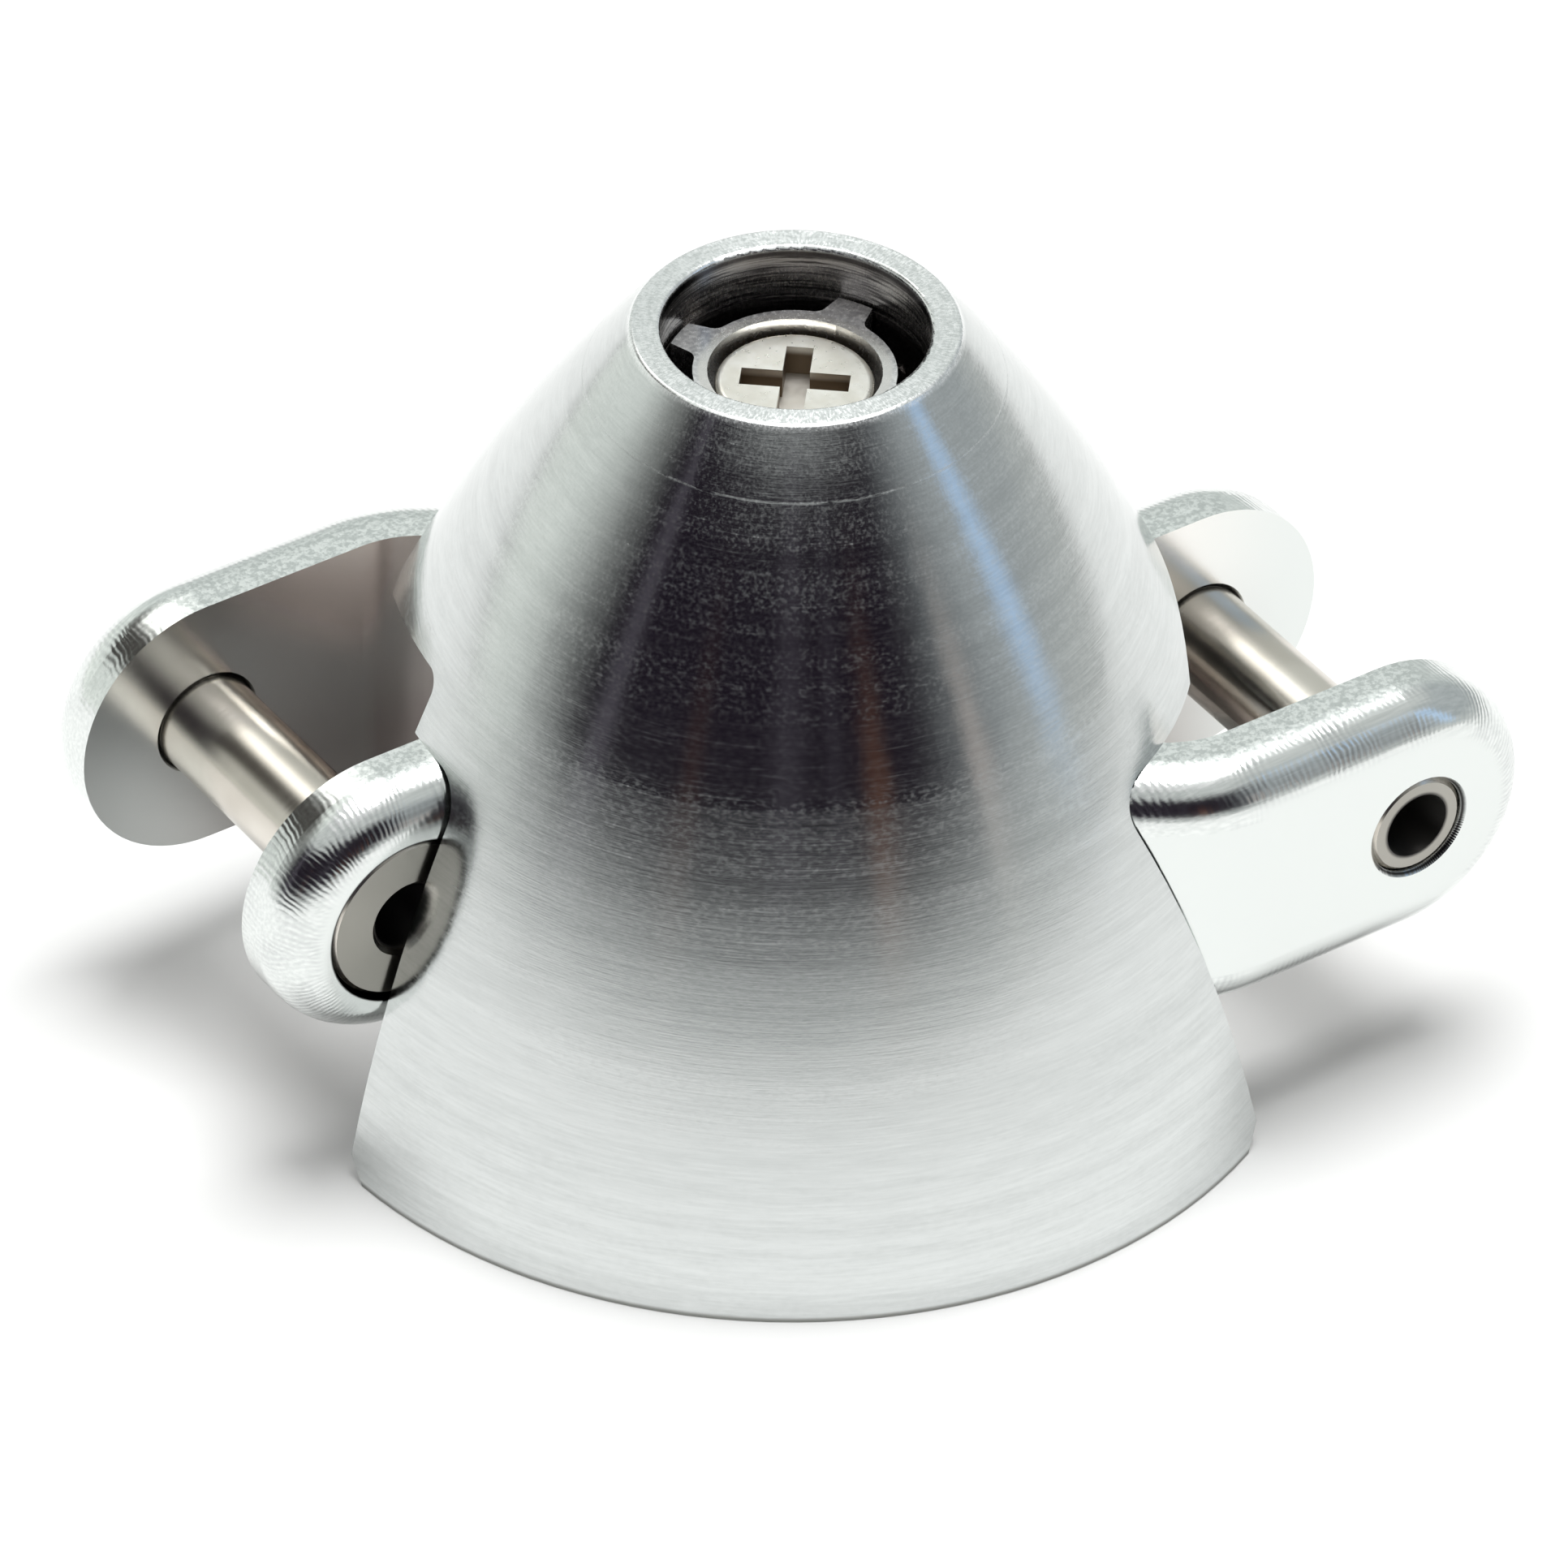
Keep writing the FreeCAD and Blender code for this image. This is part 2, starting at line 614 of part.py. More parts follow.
def check(parts):
    """Stop on any object that failed and on any piece that isn't one sound solid."""
    for item in doc.Objects:
        if {"Invalid", "Error"} & set(item.State):
            raise RuntimeError(f"{item.Name} failed: {item.State}")
    for part in parts:
        if part.Shape.isNull() or not part.Shape.isValid() or len(part.Shape.Solids) != 1:
            raise RuntimeError(f"{part.Label} isn't one valid solid")
    if tuple(part.Label for part in parts) != NODES:
        raise RuntimeError("the pieces don't match the list of nodes")


parts = [
    make_spinner_cone(),
    make_blade_yoke(),
    make_blade_pin("blade_pin_left", half_turn=False),
    make_blade_pin("blade_pin_right", half_turn=True),
    make_star_washer(),
    make_cone_screw(),
    make_collet(),
    make_collet_nut(),
]
doc.recompute()
check(parts)
os.makedirs("parts", exist_ok=True)
for part in parts:
    part.Shape.exportStep(f"parts/{part.Label}.step")
    box = part.Shape.BoundBox
    print(f"{part.Label:16s} {part.Shape.Volume:9.2f} mm3  "
          f"{box.XLength:.2f} x {box.YLength:.2f} x {box.ZLength:.2f}")
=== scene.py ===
"""Looks for a folding-propeller spinner: turned cone, milled yoke, ground pins, nose hardware.

The scene is in metres in the part's own frame: +Z towards the open nose, arms along +X and -X.
The finishes are worked out in millimetres, because that is how a machinist reads them.
"""
import math

import bmesh
import bpy
from mathutils import Matrix, Vector


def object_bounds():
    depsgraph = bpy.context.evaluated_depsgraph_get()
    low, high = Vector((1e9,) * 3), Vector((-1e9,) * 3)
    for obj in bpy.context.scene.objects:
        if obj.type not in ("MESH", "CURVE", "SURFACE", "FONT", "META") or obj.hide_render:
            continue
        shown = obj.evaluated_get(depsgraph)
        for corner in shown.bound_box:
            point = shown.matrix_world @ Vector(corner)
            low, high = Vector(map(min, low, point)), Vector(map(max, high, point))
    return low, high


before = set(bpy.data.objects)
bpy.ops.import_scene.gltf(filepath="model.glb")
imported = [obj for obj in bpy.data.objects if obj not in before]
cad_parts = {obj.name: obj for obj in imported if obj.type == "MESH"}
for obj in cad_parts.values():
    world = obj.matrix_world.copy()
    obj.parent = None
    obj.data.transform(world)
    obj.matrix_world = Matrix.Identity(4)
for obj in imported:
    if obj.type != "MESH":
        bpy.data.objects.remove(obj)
part_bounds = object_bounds()

MM = 0.001
IN_DEGREES = 180.0 / math.pi
QUARTER_TURN = 0.25     # anisotropic rotation counts whole turns

# Places on the part that the finishes follow, in millimetres.
CONE_HEIGHT, NOSE_BORE_RADIUS = 22.75, 3.7
LEDGE_BOTTOM = 18.15
BAND_MIDDLE, BAND_HALF = 15.15, 1.15
REST_MARK_HEIGHT = 21.1
HINGE_REACH, PIN_HEIGHT = 12.8, 8.0
LUG_RADIUS, HUB_RADIUS, LUG_OVERLAP = 4.05, 6.65, 0.5
FORK_MIDDLE, FORK_HALF_GAP = 5.9, 4.1
PIN_RADIUS, PIN_BORE_RADIUS, PIN_HEAD_RADIUS = 1.5, 1.0, 2.5
WASHER_TOP, WASHER_RADIUS, WASHER_SEAT_RADIUS = 21.25, 2.8, 2.4
HEAD_TOP = 20.95
SHAFT_RADIUS = 2.0


# ---- shader arithmetic ----

class Field:
    """A value that varies over a surface. Arithmetic on it adds Math nodes to its material."""

    def __init__(self, finish, socket):
        self.finish = finish
        self.socket = socket

    def maths(self, operation, *others, clamp=False):
        settings = {"operation": operation, "use_clamp": clamp}
        return self.finish.add("ShaderNodeMath", settings, [self, *others])

    def __add__(self, other):
        return self.maths("ADD", other)

    __radd__ = __add__

    def __sub__(self, other):
        return self.maths("SUBTRACT", other)

    def __rsub__(self, other):
        return self.finish.add("ShaderNodeMath", {"operation": "SUBTRACT"}, [other, self])

    def __mul__(self, other):
        return self.maths("MULTIPLY", other)

    __rmul__ = __mul__

    def __truediv__(self, other):
        return self.maths("DIVIDE", other)

    def __rtruediv__(self, other):
        return self.finish.add("ShaderNodeMath", {"operation": "DIVIDE"}, [other, self])

    def __pow__(self, other):
        return self.maths("POWER", other)

    def __abs__(self):
        return self.maths("ABSOLUTE")

    def sin(self):
        return self.maths("SINE")

    def arcsine(self):
        return self.maths("ARCSINE")

    def angle_from(self, other):
        """The angle whose tangent is this value over the other."""
        return self.maths("ARCTAN2", other)

    def clamp(self):
        return self.maths("ADD", 0.0, clamp=True)

    def least(self, other):
        return self.maths("MINIMUM", other)

    def most(self, other):
        return self.maths("MAXIMUM", other)

    def step(self, low, high):
        """0 below low, 1 above high and smooth between; low above high turns it round."""
        ramp = self.finish.add("ShaderNodeMapRange", {"interpolation_type": "SMOOTHSTEP"}, {
            "Value": self, "From Min": min(low, high), "From Max": max(low, high)})
        return 1.0 - ramp if low > high else ramp

    def near(self, place, width):
        """1 at that place, falling smoothly to 0 at that width to either side of it."""
        return abs(self - place).step(width, 0.0)


def distance(across, along):
    return (across * across + along * along) ** 0.5


class Finish:
    """The nodes of one material, or of the world."""

    def __init__(self, holder):
        self.holder = holder
        self.holder.use_nodes = True
        self.tree = holder.node_tree
        self.tree.nodes.clear()

    def add(self, kind, settings=None, inputs=None, output=0):
        """Add a node, set it up, then give its sockets values or links; a tuple is a colour."""
        node = self.tree.nodes.new(kind)
        for name, setting in (settings or {}).items():
            setattr(node, name, setting)
        inputs = inputs or {}
        pairs = enumerate(inputs) if isinstance(inputs, list) else inputs.items()
        for key, given in pairs:
            if isinstance(given, Field):
                self.tree.links.new(given.socket, node.inputs[key])
            elif isinstance(given, tuple):
                node.inputs[key].default_value = (*given, 1.0)
            else:
                node.inputs[key].default_value = given
        return Field(self, node.outputs[output]) if node.outputs else None

    def split(self, vector):
        node = self.add("ShaderNodeSeparateXYZ", {}, [vector]).socket.node
        return [Field(self, node.outputs[axis]) for axis in range(3)]

    def place(self):
        """Where the surface is on its own piece, in millimetres: x, y, z."""
        spot = self.add("ShaderNodeTexCoord", output="Object")
        scaled = self.add("ShaderNodeVectorMath", {"operation": "SCALE"},
                          {0: spot, "Scale": 1.0 / MM})
        return self.split(scaled)

    def facing(self):
        """The surface's own direction: x, y, z."""
        return self.split(self.add("ShaderNodeTexCoord", output="Normal"))

    def grain(self, x, y, z, detail=2.0, rough=0.5):
        """Cloudy noise about a half, with clouds about one unit across."""
        spot = self.add("ShaderNodeCombineXYZ", {}, [x, y, z])
        return self.add("ShaderNodeTexNoise", {"noise_dimensions": "3D"}, {
            "Vector": spot, "Scale": 1.0, "Detail": detail, "Roughness": rough})

    def blend(self, share, first, second):
        """Mix two colours."""
        sockets = {0: share, 6: first, 7: second}
        return self.add("ShaderNodeMix", {"data_type": "RGBA"}, sockets, output=2)

    def relief(self, height, depth):
        """A normal from a height that runs from 0 to 1 over that many millimetres."""
        return self.add("ShaderNodeBump", {}, {
            "Height": height, "Strength": 1.0, "Distance": depth * MM})

    def seen(self):
        """1 for camera, glossy and transmission rays, 0 for the rays that light the part."""
        path = self.add("ShaderNodeLightPath").socket.node
        camera, glossy, through = (Field(self, path.outputs[ray]) for ray in (
            "Is Camera Ray", "Is Glossy Ray", "Is Transmission Ray"))
        return (camera + glossy + through).clamp()

    def metal(self, colour, roughness, normal, brushing=0.0, across=0.0, around=None):
        """Bare metal; around names the axis that its brushing runs round, if not Z."""
        inputs = {"Base Color": colour, "Metallic": 1.0, "Roughness": roughness,
                  "Normal": normal, "Anisotropic": brushing, "Anisotropic Rotation": across}
        if around is not None:
            inputs["Tangent"] = self.add(
                "ShaderNodeTangent", {"direction_type": "RADIAL", "axis": around})
        surface = self.add("ShaderNodeBsdfPrincipled", {}, inputs)
        self.add("ShaderNodeOutputMaterial", {}, {"Surface": surface})
        return self.holder


def rings(x, y, z):
    """Round-the-axis coordinates: distance from the axis, heading as x and y, ring number."""
    away = distance(x, y)
    safe = away.most(0.01)
    return away, x / safe, y / safe, z - away


# ---- finishes ----

def turned_aluminium():
    """Fine-turned cone: broken rings from the tool tip, mottled glints, a brighter nose rim."""
    finish = Finish(bpy.data.materials.new("turned_aluminium"))
    x, y, z = finish.place()
    away, east, north, ring = rings(x, y, z)
    scratches = finish.grain(east * 9.0, north * 9.0, ring * 9.0, 3.0, 0.6)
    threads = finish.grain(east * 2.2, north * 2.2, ring * 15.0)
    bands = finish.grain(east * 0.4, north * 0.4, ring * 1.3)
    glints = finish.grain(east * 62.0, north * 62.0, ring * 7.0, 1.0, 0.6)
    rest_mark = z.near(REST_MARK_HEIGHT, 0.05) * scratches.step(0.35, 0.5)
    rim = z.step(CONE_HEIGHT - 0.20, CONE_HEIGHT - 0.07)
    # painted shade: a thin dark band along the foot of the cone, where it meets the floor
    foot_shade = z.step(0.16, 0.03)
    height = scratches * 0.45 + threads * 0.35 + glints * (0.35 + 0.6 * rim) - rest_mark * 0.6
    tone = (scratches * 0.45 + bands * 0.35 + glints * 0.2).step(0.28, 0.72)
    colour = finish.blend(tone, (0.565, 0.585, 0.58), (0.705, 0.725, 0.72))
    rim_tone = finish.blend((0.5 * glints + 0.5 * scratches).step(0.32, 0.62),
                            (0.72, 0.74, 0.735), (0.94, 0.95, 0.95))
    bore = (away.step(NOSE_BORE_RADIUS + 0.25, NOSE_BORE_RADIUS + 0.1)
            * z.step(LEDGE_BOTTOM + 0.05, LEDGE_BOTTOM + 0.45))
    throat = (z.step(WASHER_TOP - 0.65, WASHER_TOP + 0.05)
              * z.step(CONE_HEIGHT - 0.25, CONE_HEIGHT - 0.45))
    ridges = throat * threads.step(0.35, 0.6)
    # painted shade: the nose bore is painted near black, except for pale turned ridges in its
    # throat just under the rim
    bore_shade_tone = finish.blend(ridges, (0.13, 0.12, 0.12), (0.86, 0.82, 0.79))
    colour = finish.blend(bore, colour, bore_shade_tone)
    colour = finish.blend(rim, colour, rim_tone)
    # painted shade along the foot of the cone
    colour = finish.blend(foot_shade, colour, (0.26, 0.265, 0.25))
    burnished = z.near(BAND_MIDDLE, BAND_HALF).step(0.0, 0.25)
    frosted = z.step(BAND_MIDDLE - BAND_HALF + 0.1, BAND_MIDDLE - BAND_HALF - 0.1)
    calm = 1.0 - 0.6 * burnished - 0.45 * frosted
    nicks = glints.step(0.40, 0.72) * bands.step(0.2, 0.55) * calm
    dragged = threads.step(0.54, 0.72) * scratches.step(0.38, 0.6)
    roughness = (0.08 + 0.04 * scratches + 0.03 * bands + 0.10 * nicks + 0.06 * dragged
                 + 0.05 * frosted * z.step(2.0, 8.0) + 0.15 * rest_mark + 0.10 * rim
                 + 0.10 * bore * throat)
    return finish.metal(colour, roughness, finish.relief(height, 0.0028), 0.55, QUARTER_TURN)


def milled_aluminium():
    """Milled yoke: speckled flats, bright rounded edges with the cutter's chatter across them."""
    finish = Finish(bpy.data.materials.new("milled_aluminium"))
    x, y, z = finish.place()
    _, north, up = finish.facing()
    reach, climb = abs(x), z - PIN_HEIGHT
    past_hinge = (reach - HINGE_REACH).most(0.0)
    travel = reach.least(HINGE_REACH) + past_hinge.angle_from(abs(climb)) * LUG_RADIUS
    level = abs(up).step(0.93, 0.995)
    lug_face = abs(north).step(0.93, 0.995) * reach.step(HUB_RADIUS, HUB_RADIUS + 1.0)
    wall = abs(up).step(0.12, 0.03) * reach.step(HINGE_REACH + 0.7, HINGE_REACH - 0.8)
    side = lug_face.most(wall)
    edge = (1.0 - level) * (1.0 - side)
    wander = finish.grain(x * 0.9, y * 0.9, z * 0.9)
    chatter = (travel * 33.0 + wander * 17.0 + y * 5.0).sin() * 0.5 + 0.5
    loudness = finish.grain(x * 0.45, y * 0.45, z * 0.45, 1.0).step(0.38, 0.58)
    specks = finish.grain(x * 6.0, y * 6.0, z * 6.0, 3.0, 0.65)
    long_marks = finish.grain(x * 0.6, y * 9.0, z * 9.0)
    height = (edge * chatter * (0.2 + 0.8 * loudness) * 0.75
              + level * specks * 1.2 + edge * long_marks * 0.35)
    tone = (specks * level + long_marks * edge + 0.5 * side).step(0.25, 0.75)
    colour = finish.blend(tone, (0.72, 0.75, 0.735), (0.86, 0.885, 0.87))
    colour = finish.blend(level * specks.step(0.58, 0.40) * 0.55, colour, (0.50, 0.53, 0.52))
    colour = finish.blend(edge * chatter * loudness * 0.4, colour, (0.48, 0.49, 0.50))
    # painted shade on the inner faces of the fork: dark and warm low down near the hub, turning
    # pale near the top and fading out towards the lug ends
    between_lugs = abs(abs(y) - FORK_MIDDLE).step(FORK_HALF_GAP + 0.15, FORK_HALF_GAP - 0.05)
    in_fork = between_lugs * side * reach.step(HINGE_REACH + 3.7, HINGE_REACH - 3.3)
    fork_shade = finish.blend(z.step(PIN_HEIGHT - 3.0, PIN_HEIGHT + 2.8),
                          (0.35, 0.305, 0.29), (0.97, 0.92, 0.88))
    colour = finish.blend(in_fork, colour, fork_shade)
    from_pin = distance(climb, reach - HINGE_REACH)
    # painted shade: near-black rings in the mouth of each pin hole and in the gap round each pin
    # head
    pin_mouth_shade = from_pin.near(PIN_RADIUS + 0.06, 0.10)
    head_seat_shade = (from_pin.near(PIN_HEAD_RADIUS + 0.10, 0.06)
            * abs(y).step(LUG_OVERLAP + 0.3, LUG_OVERLAP + 0.1))
    colour = finish.blend(pin_mouth_shade.most(head_seat_shade), colour, (0.03, 0.028, 0.027))
    roughness = 0.12 + 0.09 * level + 0.05 * side + 0.06 * specks
    return finish.metal(colour, roughness, finish.relief(height, 0.0065))


def pin_steel():
    """Ground hinge pin with a faced head and its bore painted dark as shade: warm, satin, faint
    grinding rings.
    """
    finish = Finish(bpy.data.materials.new("pin_steel"))
    x, y, z = finish.place()
    east, north, up = finish.facing()
    face = abs(north).step(0.8, 0.98)
    away = distance(z - PIN_HEIGHT, abs(x) - HINGE_REACH)
    grinding = finish.grain(east * 2.0, y * 14.0, up * 2.0)
    facing_rings = finish.grain(away * 16.0, x * 0.2, z * 0.2, 1.0)
    clouds = finish.grain(x * 0.5, y * 0.35, z * 0.5)
    height = (1.0 - face) * grinding + face * facing_rings
    bore = away.step(PIN_BORE_RADIUS + 0.12, PIN_BORE_RADIUS)
    steel = finish.blend(clouds.step(0.3, 0.7), (0.60, 0.56, 0.50), (0.74, 0.70, 0.64))
    faced = finish.blend(face, steel, (0.40, 0.385, 0.35))
    # painted shade: the bore in the pin's end is painted near black
    colour = finish.blend(bore, faced, (0.10, 0.095, 0.09))
    roughness = 0.18 + 0.07 * grinding + 0.10 * face + 0.25 * bore
    return finish.metal(colour, roughness, finish.relief(height, 0.0015), 0.7, QUARTER_TURN, "Y")


def washer_aluminium():
    """Turned star washer: fine rings on top, an even tone at its cup, lugs as they were cut."""
    finish = Finish(bpy.data.materials.new("washer_aluminium"))
    x, y, z = finish.place()
    away, east, north, ring = rings(x, y, z)
    lines = finish.grain(east * 1.2, north * 1.2, ring * 13.0)
    specks = finish.grain(x * 7.0, y * 7.0, z * 7.0)
    lugs = away.step(WASHER_RADIUS, WASHER_RADIUS + 0.15)
    cup = away.step(WASHER_SEAT_RADIUS + 0.32, WASHER_SEAT_RADIUS + 0.2)
    colour = finish.blend(specks.step(0.3, 0.7), (0.56, 0.56, 0.57), (0.80, 0.80, 0.80))
    colour = finish.blend(cup, colour, (0.74, 0.73, 0.71))
    height = lines * 0.6 + specks * (0.3 + 0.7 * lugs)
    return finish.metal(colour, 0.20 + 0.12 * specks, finish.relief(height, 0.0016))


def screw_steel():
    """Nickel-plated screw: flat warm head, with painted shade down in the cross, darkest on its
    walls.
    """
    finish = Finish(bpy.data.materials.new("screw_steel"))
    x, y, z = finish.place()
    _, _, up = finish.facing()
    sunk = z.step(HEAD_TOP - 0.06, HEAD_TOP - 0.3)
    walls = abs(up).step(0.8, 0.3)
    stain = finish.grain(x * 1.5, y * 1.5, z * 1.5, 3.0)
    specks = finish.grain(x * 5.0, y * 5.0, z * 5.0, 1.0)
    plating = finish.blend(stain.step(0.3, 0.75), (0.82, 0.79, 0.72), (0.93, 0.91, 0.86))
    # painted shade: the cross recess is painted dark brown, darkest on its walls
    colour = finish.blend(sunk * (0.3 + 0.65 * walls), plating, (0.14, 0.095, 0.055))
    return finish.metal(colour, 0.24 + 0.10 * specks + 0.1 * sunk, finish.relief(specks, 0.0008))


def collet_aluminium():
    """Turned collet sleeve: fine rings, a slightly duller grip bore."""
    finish = Finish(bpy.data.materials.new("collet_aluminium"))
    away, east, north, ring = rings(*finish.place())
    lines = finish.grain(east, north, ring * 12.0)
    grip = away.step(SHAFT_RADIUS + 0.2, SHAFT_RADIUS + 0.05)
    colour = finish.blend(lines.step(0.3, 0.7), (0.68, 0.69, 0.70), (0.84, 0.845, 0.85))
    return finish.metal(colour, 0.26 + 0.12 * lines + 0.1 * grip, finish.relief(lines, 0.004))


def nut_steel():
    """Bright hexagon nut: facing rings on top, drawn marks along its flats."""
    finish = Finish(bpy.data.materials.new("nut_steel"))
    x, y, z = finish.place()
    _, _, up = finish.facing()
    top = abs(up).step(0.8, 0.98)
    facing_rings = finish.grain(distance(x, y) * 12.0, z * 12.0, 0.0)
    drawn = finish.grain(x, y, z * 11.0)
    marks = top * facing_rings + (1.0 - top) * drawn
    colour = finish.blend(marks.step(0.3, 0.7), (0.50, 0.50, 0.50), (0.68, 0.68, 0.68))
    return finish.metal(colour, 0.28 + 0.1 * marks, finish.relief(marks, 0.004))


FINISHES = {
    "spinner_cone": turned_aluminium(),
    "blade_yoke": milled_aluminium(),
    "star_washer": washer_aluminium(),
    "cone_screw": screw_steel(),
    "collet": collet_aluminium(),
    "collet_nut": nut_steel(),
}
FINISHES["blade_pin_left"] = FINISHES["blade_pin_right"] = pin_steel()

for node, material in FINISHES.items():
    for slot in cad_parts[node].material_slots:
        slot.material = material


# ---- studio: pale floor, soft lamps, and a tent of card and paper that only reflections see ----

CAMERA_HEADING = math.radians(-124.903)
CAMERA_HEIGHT_ANGLE = math.radians(38.287)
CAMERA_ROLL = math.radians(1.123)
CAMERA_DISTANCE = 358.86 * MM
CAMERA_LENS, CAMERA_SENSOR = 295.4963, 36.0     # millimetres
AIM = Vector((0.0, 0.0, 7.96 * MM))
AIM_RIGHT, AIM_UP = 0.09597 * MM, 0.82875 * MM  # where AIM lies from the middle of the view

FLOOR_HALF_SIDE = 3.0
FLOOR_DROP = 0.02 * MM          # keeps the floor just clear of the part
TENT_RADIUS = 0.75
TENT_FOOT, TENT_TOP = math.radians(-2), math.radians(64)
TENT_COLUMNS, TENT_ROWS = 144, 28


def make_mesh_piece(name, build, material):
    """Put a built mesh into the scene as one piece."""
    mesh = bpy.data.meshes.new(name)
    build.to_mesh(mesh)
    build.free()
    mesh.materials.append(material)
    piece = bpy.data.objects.new(name, mesh)
    bpy.context.scene.collection.objects.link(piece)
    return piece


def floor_paper():
    """Matt paper that camera, glossy and transmission rays see a little brighter."""
    finish = Finish(bpy.data.materials.new("floor_paper"))
    matt = finish.add("ShaderNodeBsdfDiffuse", {}, {"Color": (0.87, 0.875, 0.865)})
    glow = finish.add("ShaderNodeEmission", {}, {
        "Color": (1.0, 1.0, 1.0), "Strength": finish.seen() * 0.04})
    both = finish.add("ShaderNodeAddShader", {}, [matt, glow])
    finish.add("ShaderNodeOutputMaterial", {}, {"Surface": both})
    return finish.holder


def make_floor():
    build = bmesh.new()
    bmesh.ops.create_grid(build, x_segments=1, y_segments=1, size=FLOOR_HALF_SIDE)
    floor = make_mesh_piece("floor", build, floor_paper())
    floor.location.z = part_bounds[0][2] - FLOOR_DROP


def tent_cloth():
    """Dark card behind the camera between pale paper at its left and grey at its right.

    Behind the part it is pale, with a bright window high at the left. Turn is the heading in
    degrees from the camera's, positive to its right; lift is the height angle in degrees.
    """
    finish = Finish(bpy.data.materials.new("light_tent"))
    x, y, z = finish.place()
    aside = y * math.cos(CAMERA_HEADING) - x * math.sin(CAMERA_HEADING)
    ahead = x * math.cos(CAMERA_HEADING) + y * math.sin(CAMERA_HEADING)
    turn = aside.angle_from(ahead) * IN_DEGREES
    lift = (z / (TENT_RADIUS / MM)).arcsine() * IN_DEGREES
    left = turn.step(-60.0, -108.0)
    right = turn.step(35.0, 81.0)
    behind = abs(turn).step(132.0, 164.0)
    left_gap = left * (lift.step(21.0, 34.0) * lift.step(58.0, 46.0))
    card = lift.step(1.0, 13.0) * lift.step(52.0, 36.0)
    gap_tone, behind_tone = (0.06, 0.055, 0.05), (0.68, 0.72, 0.70)

    paper = finish.blend(left, (0.60, 0.62, 0.61), (0.94, 0.98, 0.93))
    paper = finish.blend(left_gap, paper, gap_tone)
    paper = finish.blend(behind, paper, behind_tone)

    folds = turn.near(0.0, 9.0) + 0.6 * turn.near(14.0, 4.0) + 2.5 * turn.near(-57.0, 6.0)
    wood = turn.near(26.0, 6.0) + 0.3 * turn.near(-28.0, 5.0)
    pale_post = turn.near(57.0, 6.0) * lift.step(30.0, 12.0) * 0.7
    blue_patch = turn.near(83.0, 8.0) * lift.step(2.0, 8.0)
    dim = finish.blend(folds * 0.35, (0.014, 0.010, 0.017), (0.09, 0.08, 0.10))
    dim = finish.blend(wood * lift.step(34.0, 8.0), dim, (0.13, 0.06, 0.04))
    dim = finish.blend(left, dim, (0.86, 0.90, 0.86))
    dim = finish.blend(left_gap, dim, gap_tone)
    dim = finish.blend(right, dim, (0.45, 0.48, 0.49))
    dim = finish.blend(pale_post, dim, (0.56, 0.50, 0.47))
    dim = finish.blend(blue_patch, dim, (0.55, 0.73, 0.98))
    dim = finish.blend(behind, dim, behind_tone)

    window = (turn.near(-148.0, 28.0) * lift.near(47.0, 13.0)).clamp()
    cloth = finish.blend(window, finish.blend(card, paper, dim), (2.8, 2.8, 2.7))
    glow = finish.add("ShaderNodeEmission", {}, {"Color": cloth, "Strength": 1.0})
    finish.add("ShaderNodeOutputMaterial", {}, {"Surface": glow})
    return finish.holder


def make_tent():
    """A band of a globe round the part, open at the top for the lamp."""
    build = bmesh.new()
    grid = []
    for row in range(TENT_ROWS + 1):
        lift = TENT_FOOT + (TENT_TOP - TENT_FOOT) * row / TENT_ROWS
        turns = (2 * math.pi * column / TENT_COLUMNS for column in range(TENT_COLUMNS))
        grid.append([build.verts.new((TENT_RADIUS * math.cos(lift) * math.cos(turn),
                                      TENT_RADIUS * math.cos(lift) * math.sin(turn),
                                      TENT_RADIUS * math.sin(lift))) for turn in turns])
    for lower, upper in zip(grid, grid[1:]):
        for column in range(TENT_COLUMNS):
            after = (column + 1) % TENT_COLUMNS
            build.faces.new((lower[column], lower[after], upper[after], upper[column]))
    tent = make_mesh_piece("light_tent", build, tent_cloth())
    tent.visible_camera = False
    tent.visible_diffuse = False
    tent.visible_shadow = False


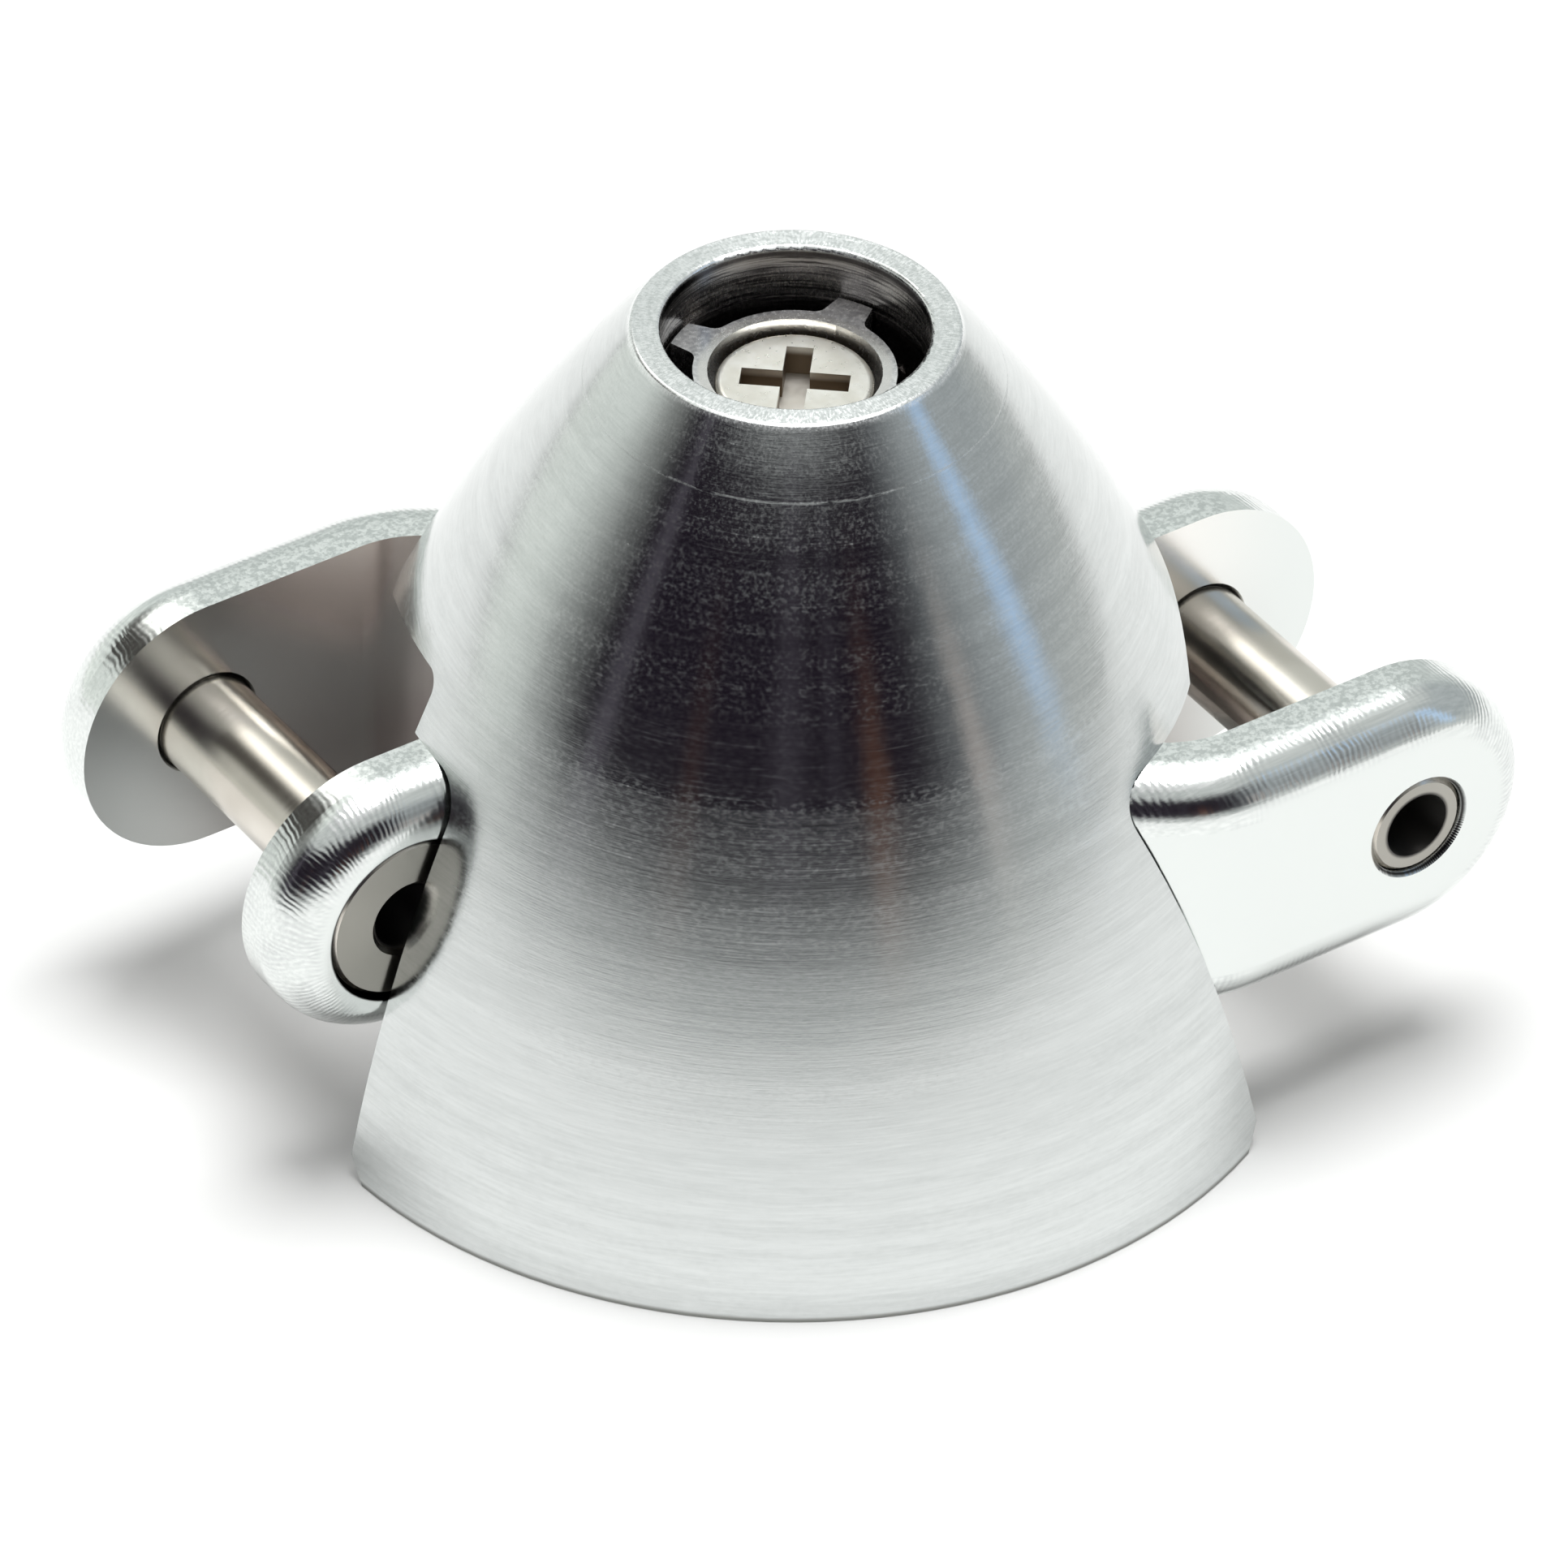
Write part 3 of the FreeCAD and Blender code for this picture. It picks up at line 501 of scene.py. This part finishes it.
def make_lamp(name, place, size, power):
    """A round soft lamp that points at the part."""
    light = bpy.data.lights.new(name, "AREA")
    light.shape = "DISK"
    light.size = size
    light.energy = power
    lamp = bpy.data.objects.new(name, light)
    bpy.context.scene.collection.objects.link(lamp)
    lamp.location = place
    toward_part = Vector((0.0, 0.0, PIN_HEIGHT * MM)) - Vector(place)
    lamp.rotation_euler = toward_part.to_track_quat("-Z", "Y").to_euler()
    return lamp


def make_world(fill, shown):
    """Soft fill from all round, which camera, glossy and transmission rays see brighter."""
    world = bpy.data.worlds.new("studio")
    bpy.context.scene.world = world
    sky = Finish(world)
    strength = sky.add("ShaderNodeMapRange", {}, {
        "Value": sky.seen(), "To Min": fill, "To Max": shown})
    background = sky.add("ShaderNodeBackground", {}, {"Strength": strength})
    sky.add("ShaderNodeOutputWorld", {}, {"Surface": background})


def make_camera():
    toward = Vector((math.cos(CAMERA_HEIGHT_ANGLE) * math.cos(CAMERA_HEADING),
                     math.cos(CAMERA_HEIGHT_ANGLE) * math.sin(CAMERA_HEADING),
                     math.sin(CAMERA_HEIGHT_ANGLE)))
    level = (-toward).cross(Vector((0, 0, 1))).normalized()
    upright = level.cross(-toward)
    right = math.cos(CAMERA_ROLL) * level + math.sin(CAMERA_ROLL) * upright
    up = -math.sin(CAMERA_ROLL) * level + math.cos(CAMERA_ROLL) * upright
    spot = AIM + toward * CAMERA_DISTANCE - right * AIM_RIGHT - up * AIM_UP
    lens = bpy.data.cameras.new("camera")
    lens.sensor_width = CAMERA_SENSOR
    lens.lens = CAMERA_LENS
    lens.clip_start = 0.01
    lens.clip_end = 20.0
    camera = bpy.data.objects.new("camera", lens)
    bpy.context.scene.collection.objects.link(camera)
    turn = Matrix((right, up, toward)).transposed()
    camera.matrix_world = Matrix.Translation(spot) @ turn.to_4x4()
    bpy.context.scene.camera = camera


make_floor()
make_tent()
make_world(fill=0.40, shown=1.0)
make_lamp("overhead", place=(0.09, 0.07, 0.62), size=0.40, power=3.95)
side_lamp = make_lamp("left_soft", place=(-0.55, 0.10, 0.35), size=0.35, power=0.45)
side_lamp.visible_glossy = False    # gives light without showing in the metal
make_camera()
bpy.context.scene.view_settings.view_transform = "Standard"
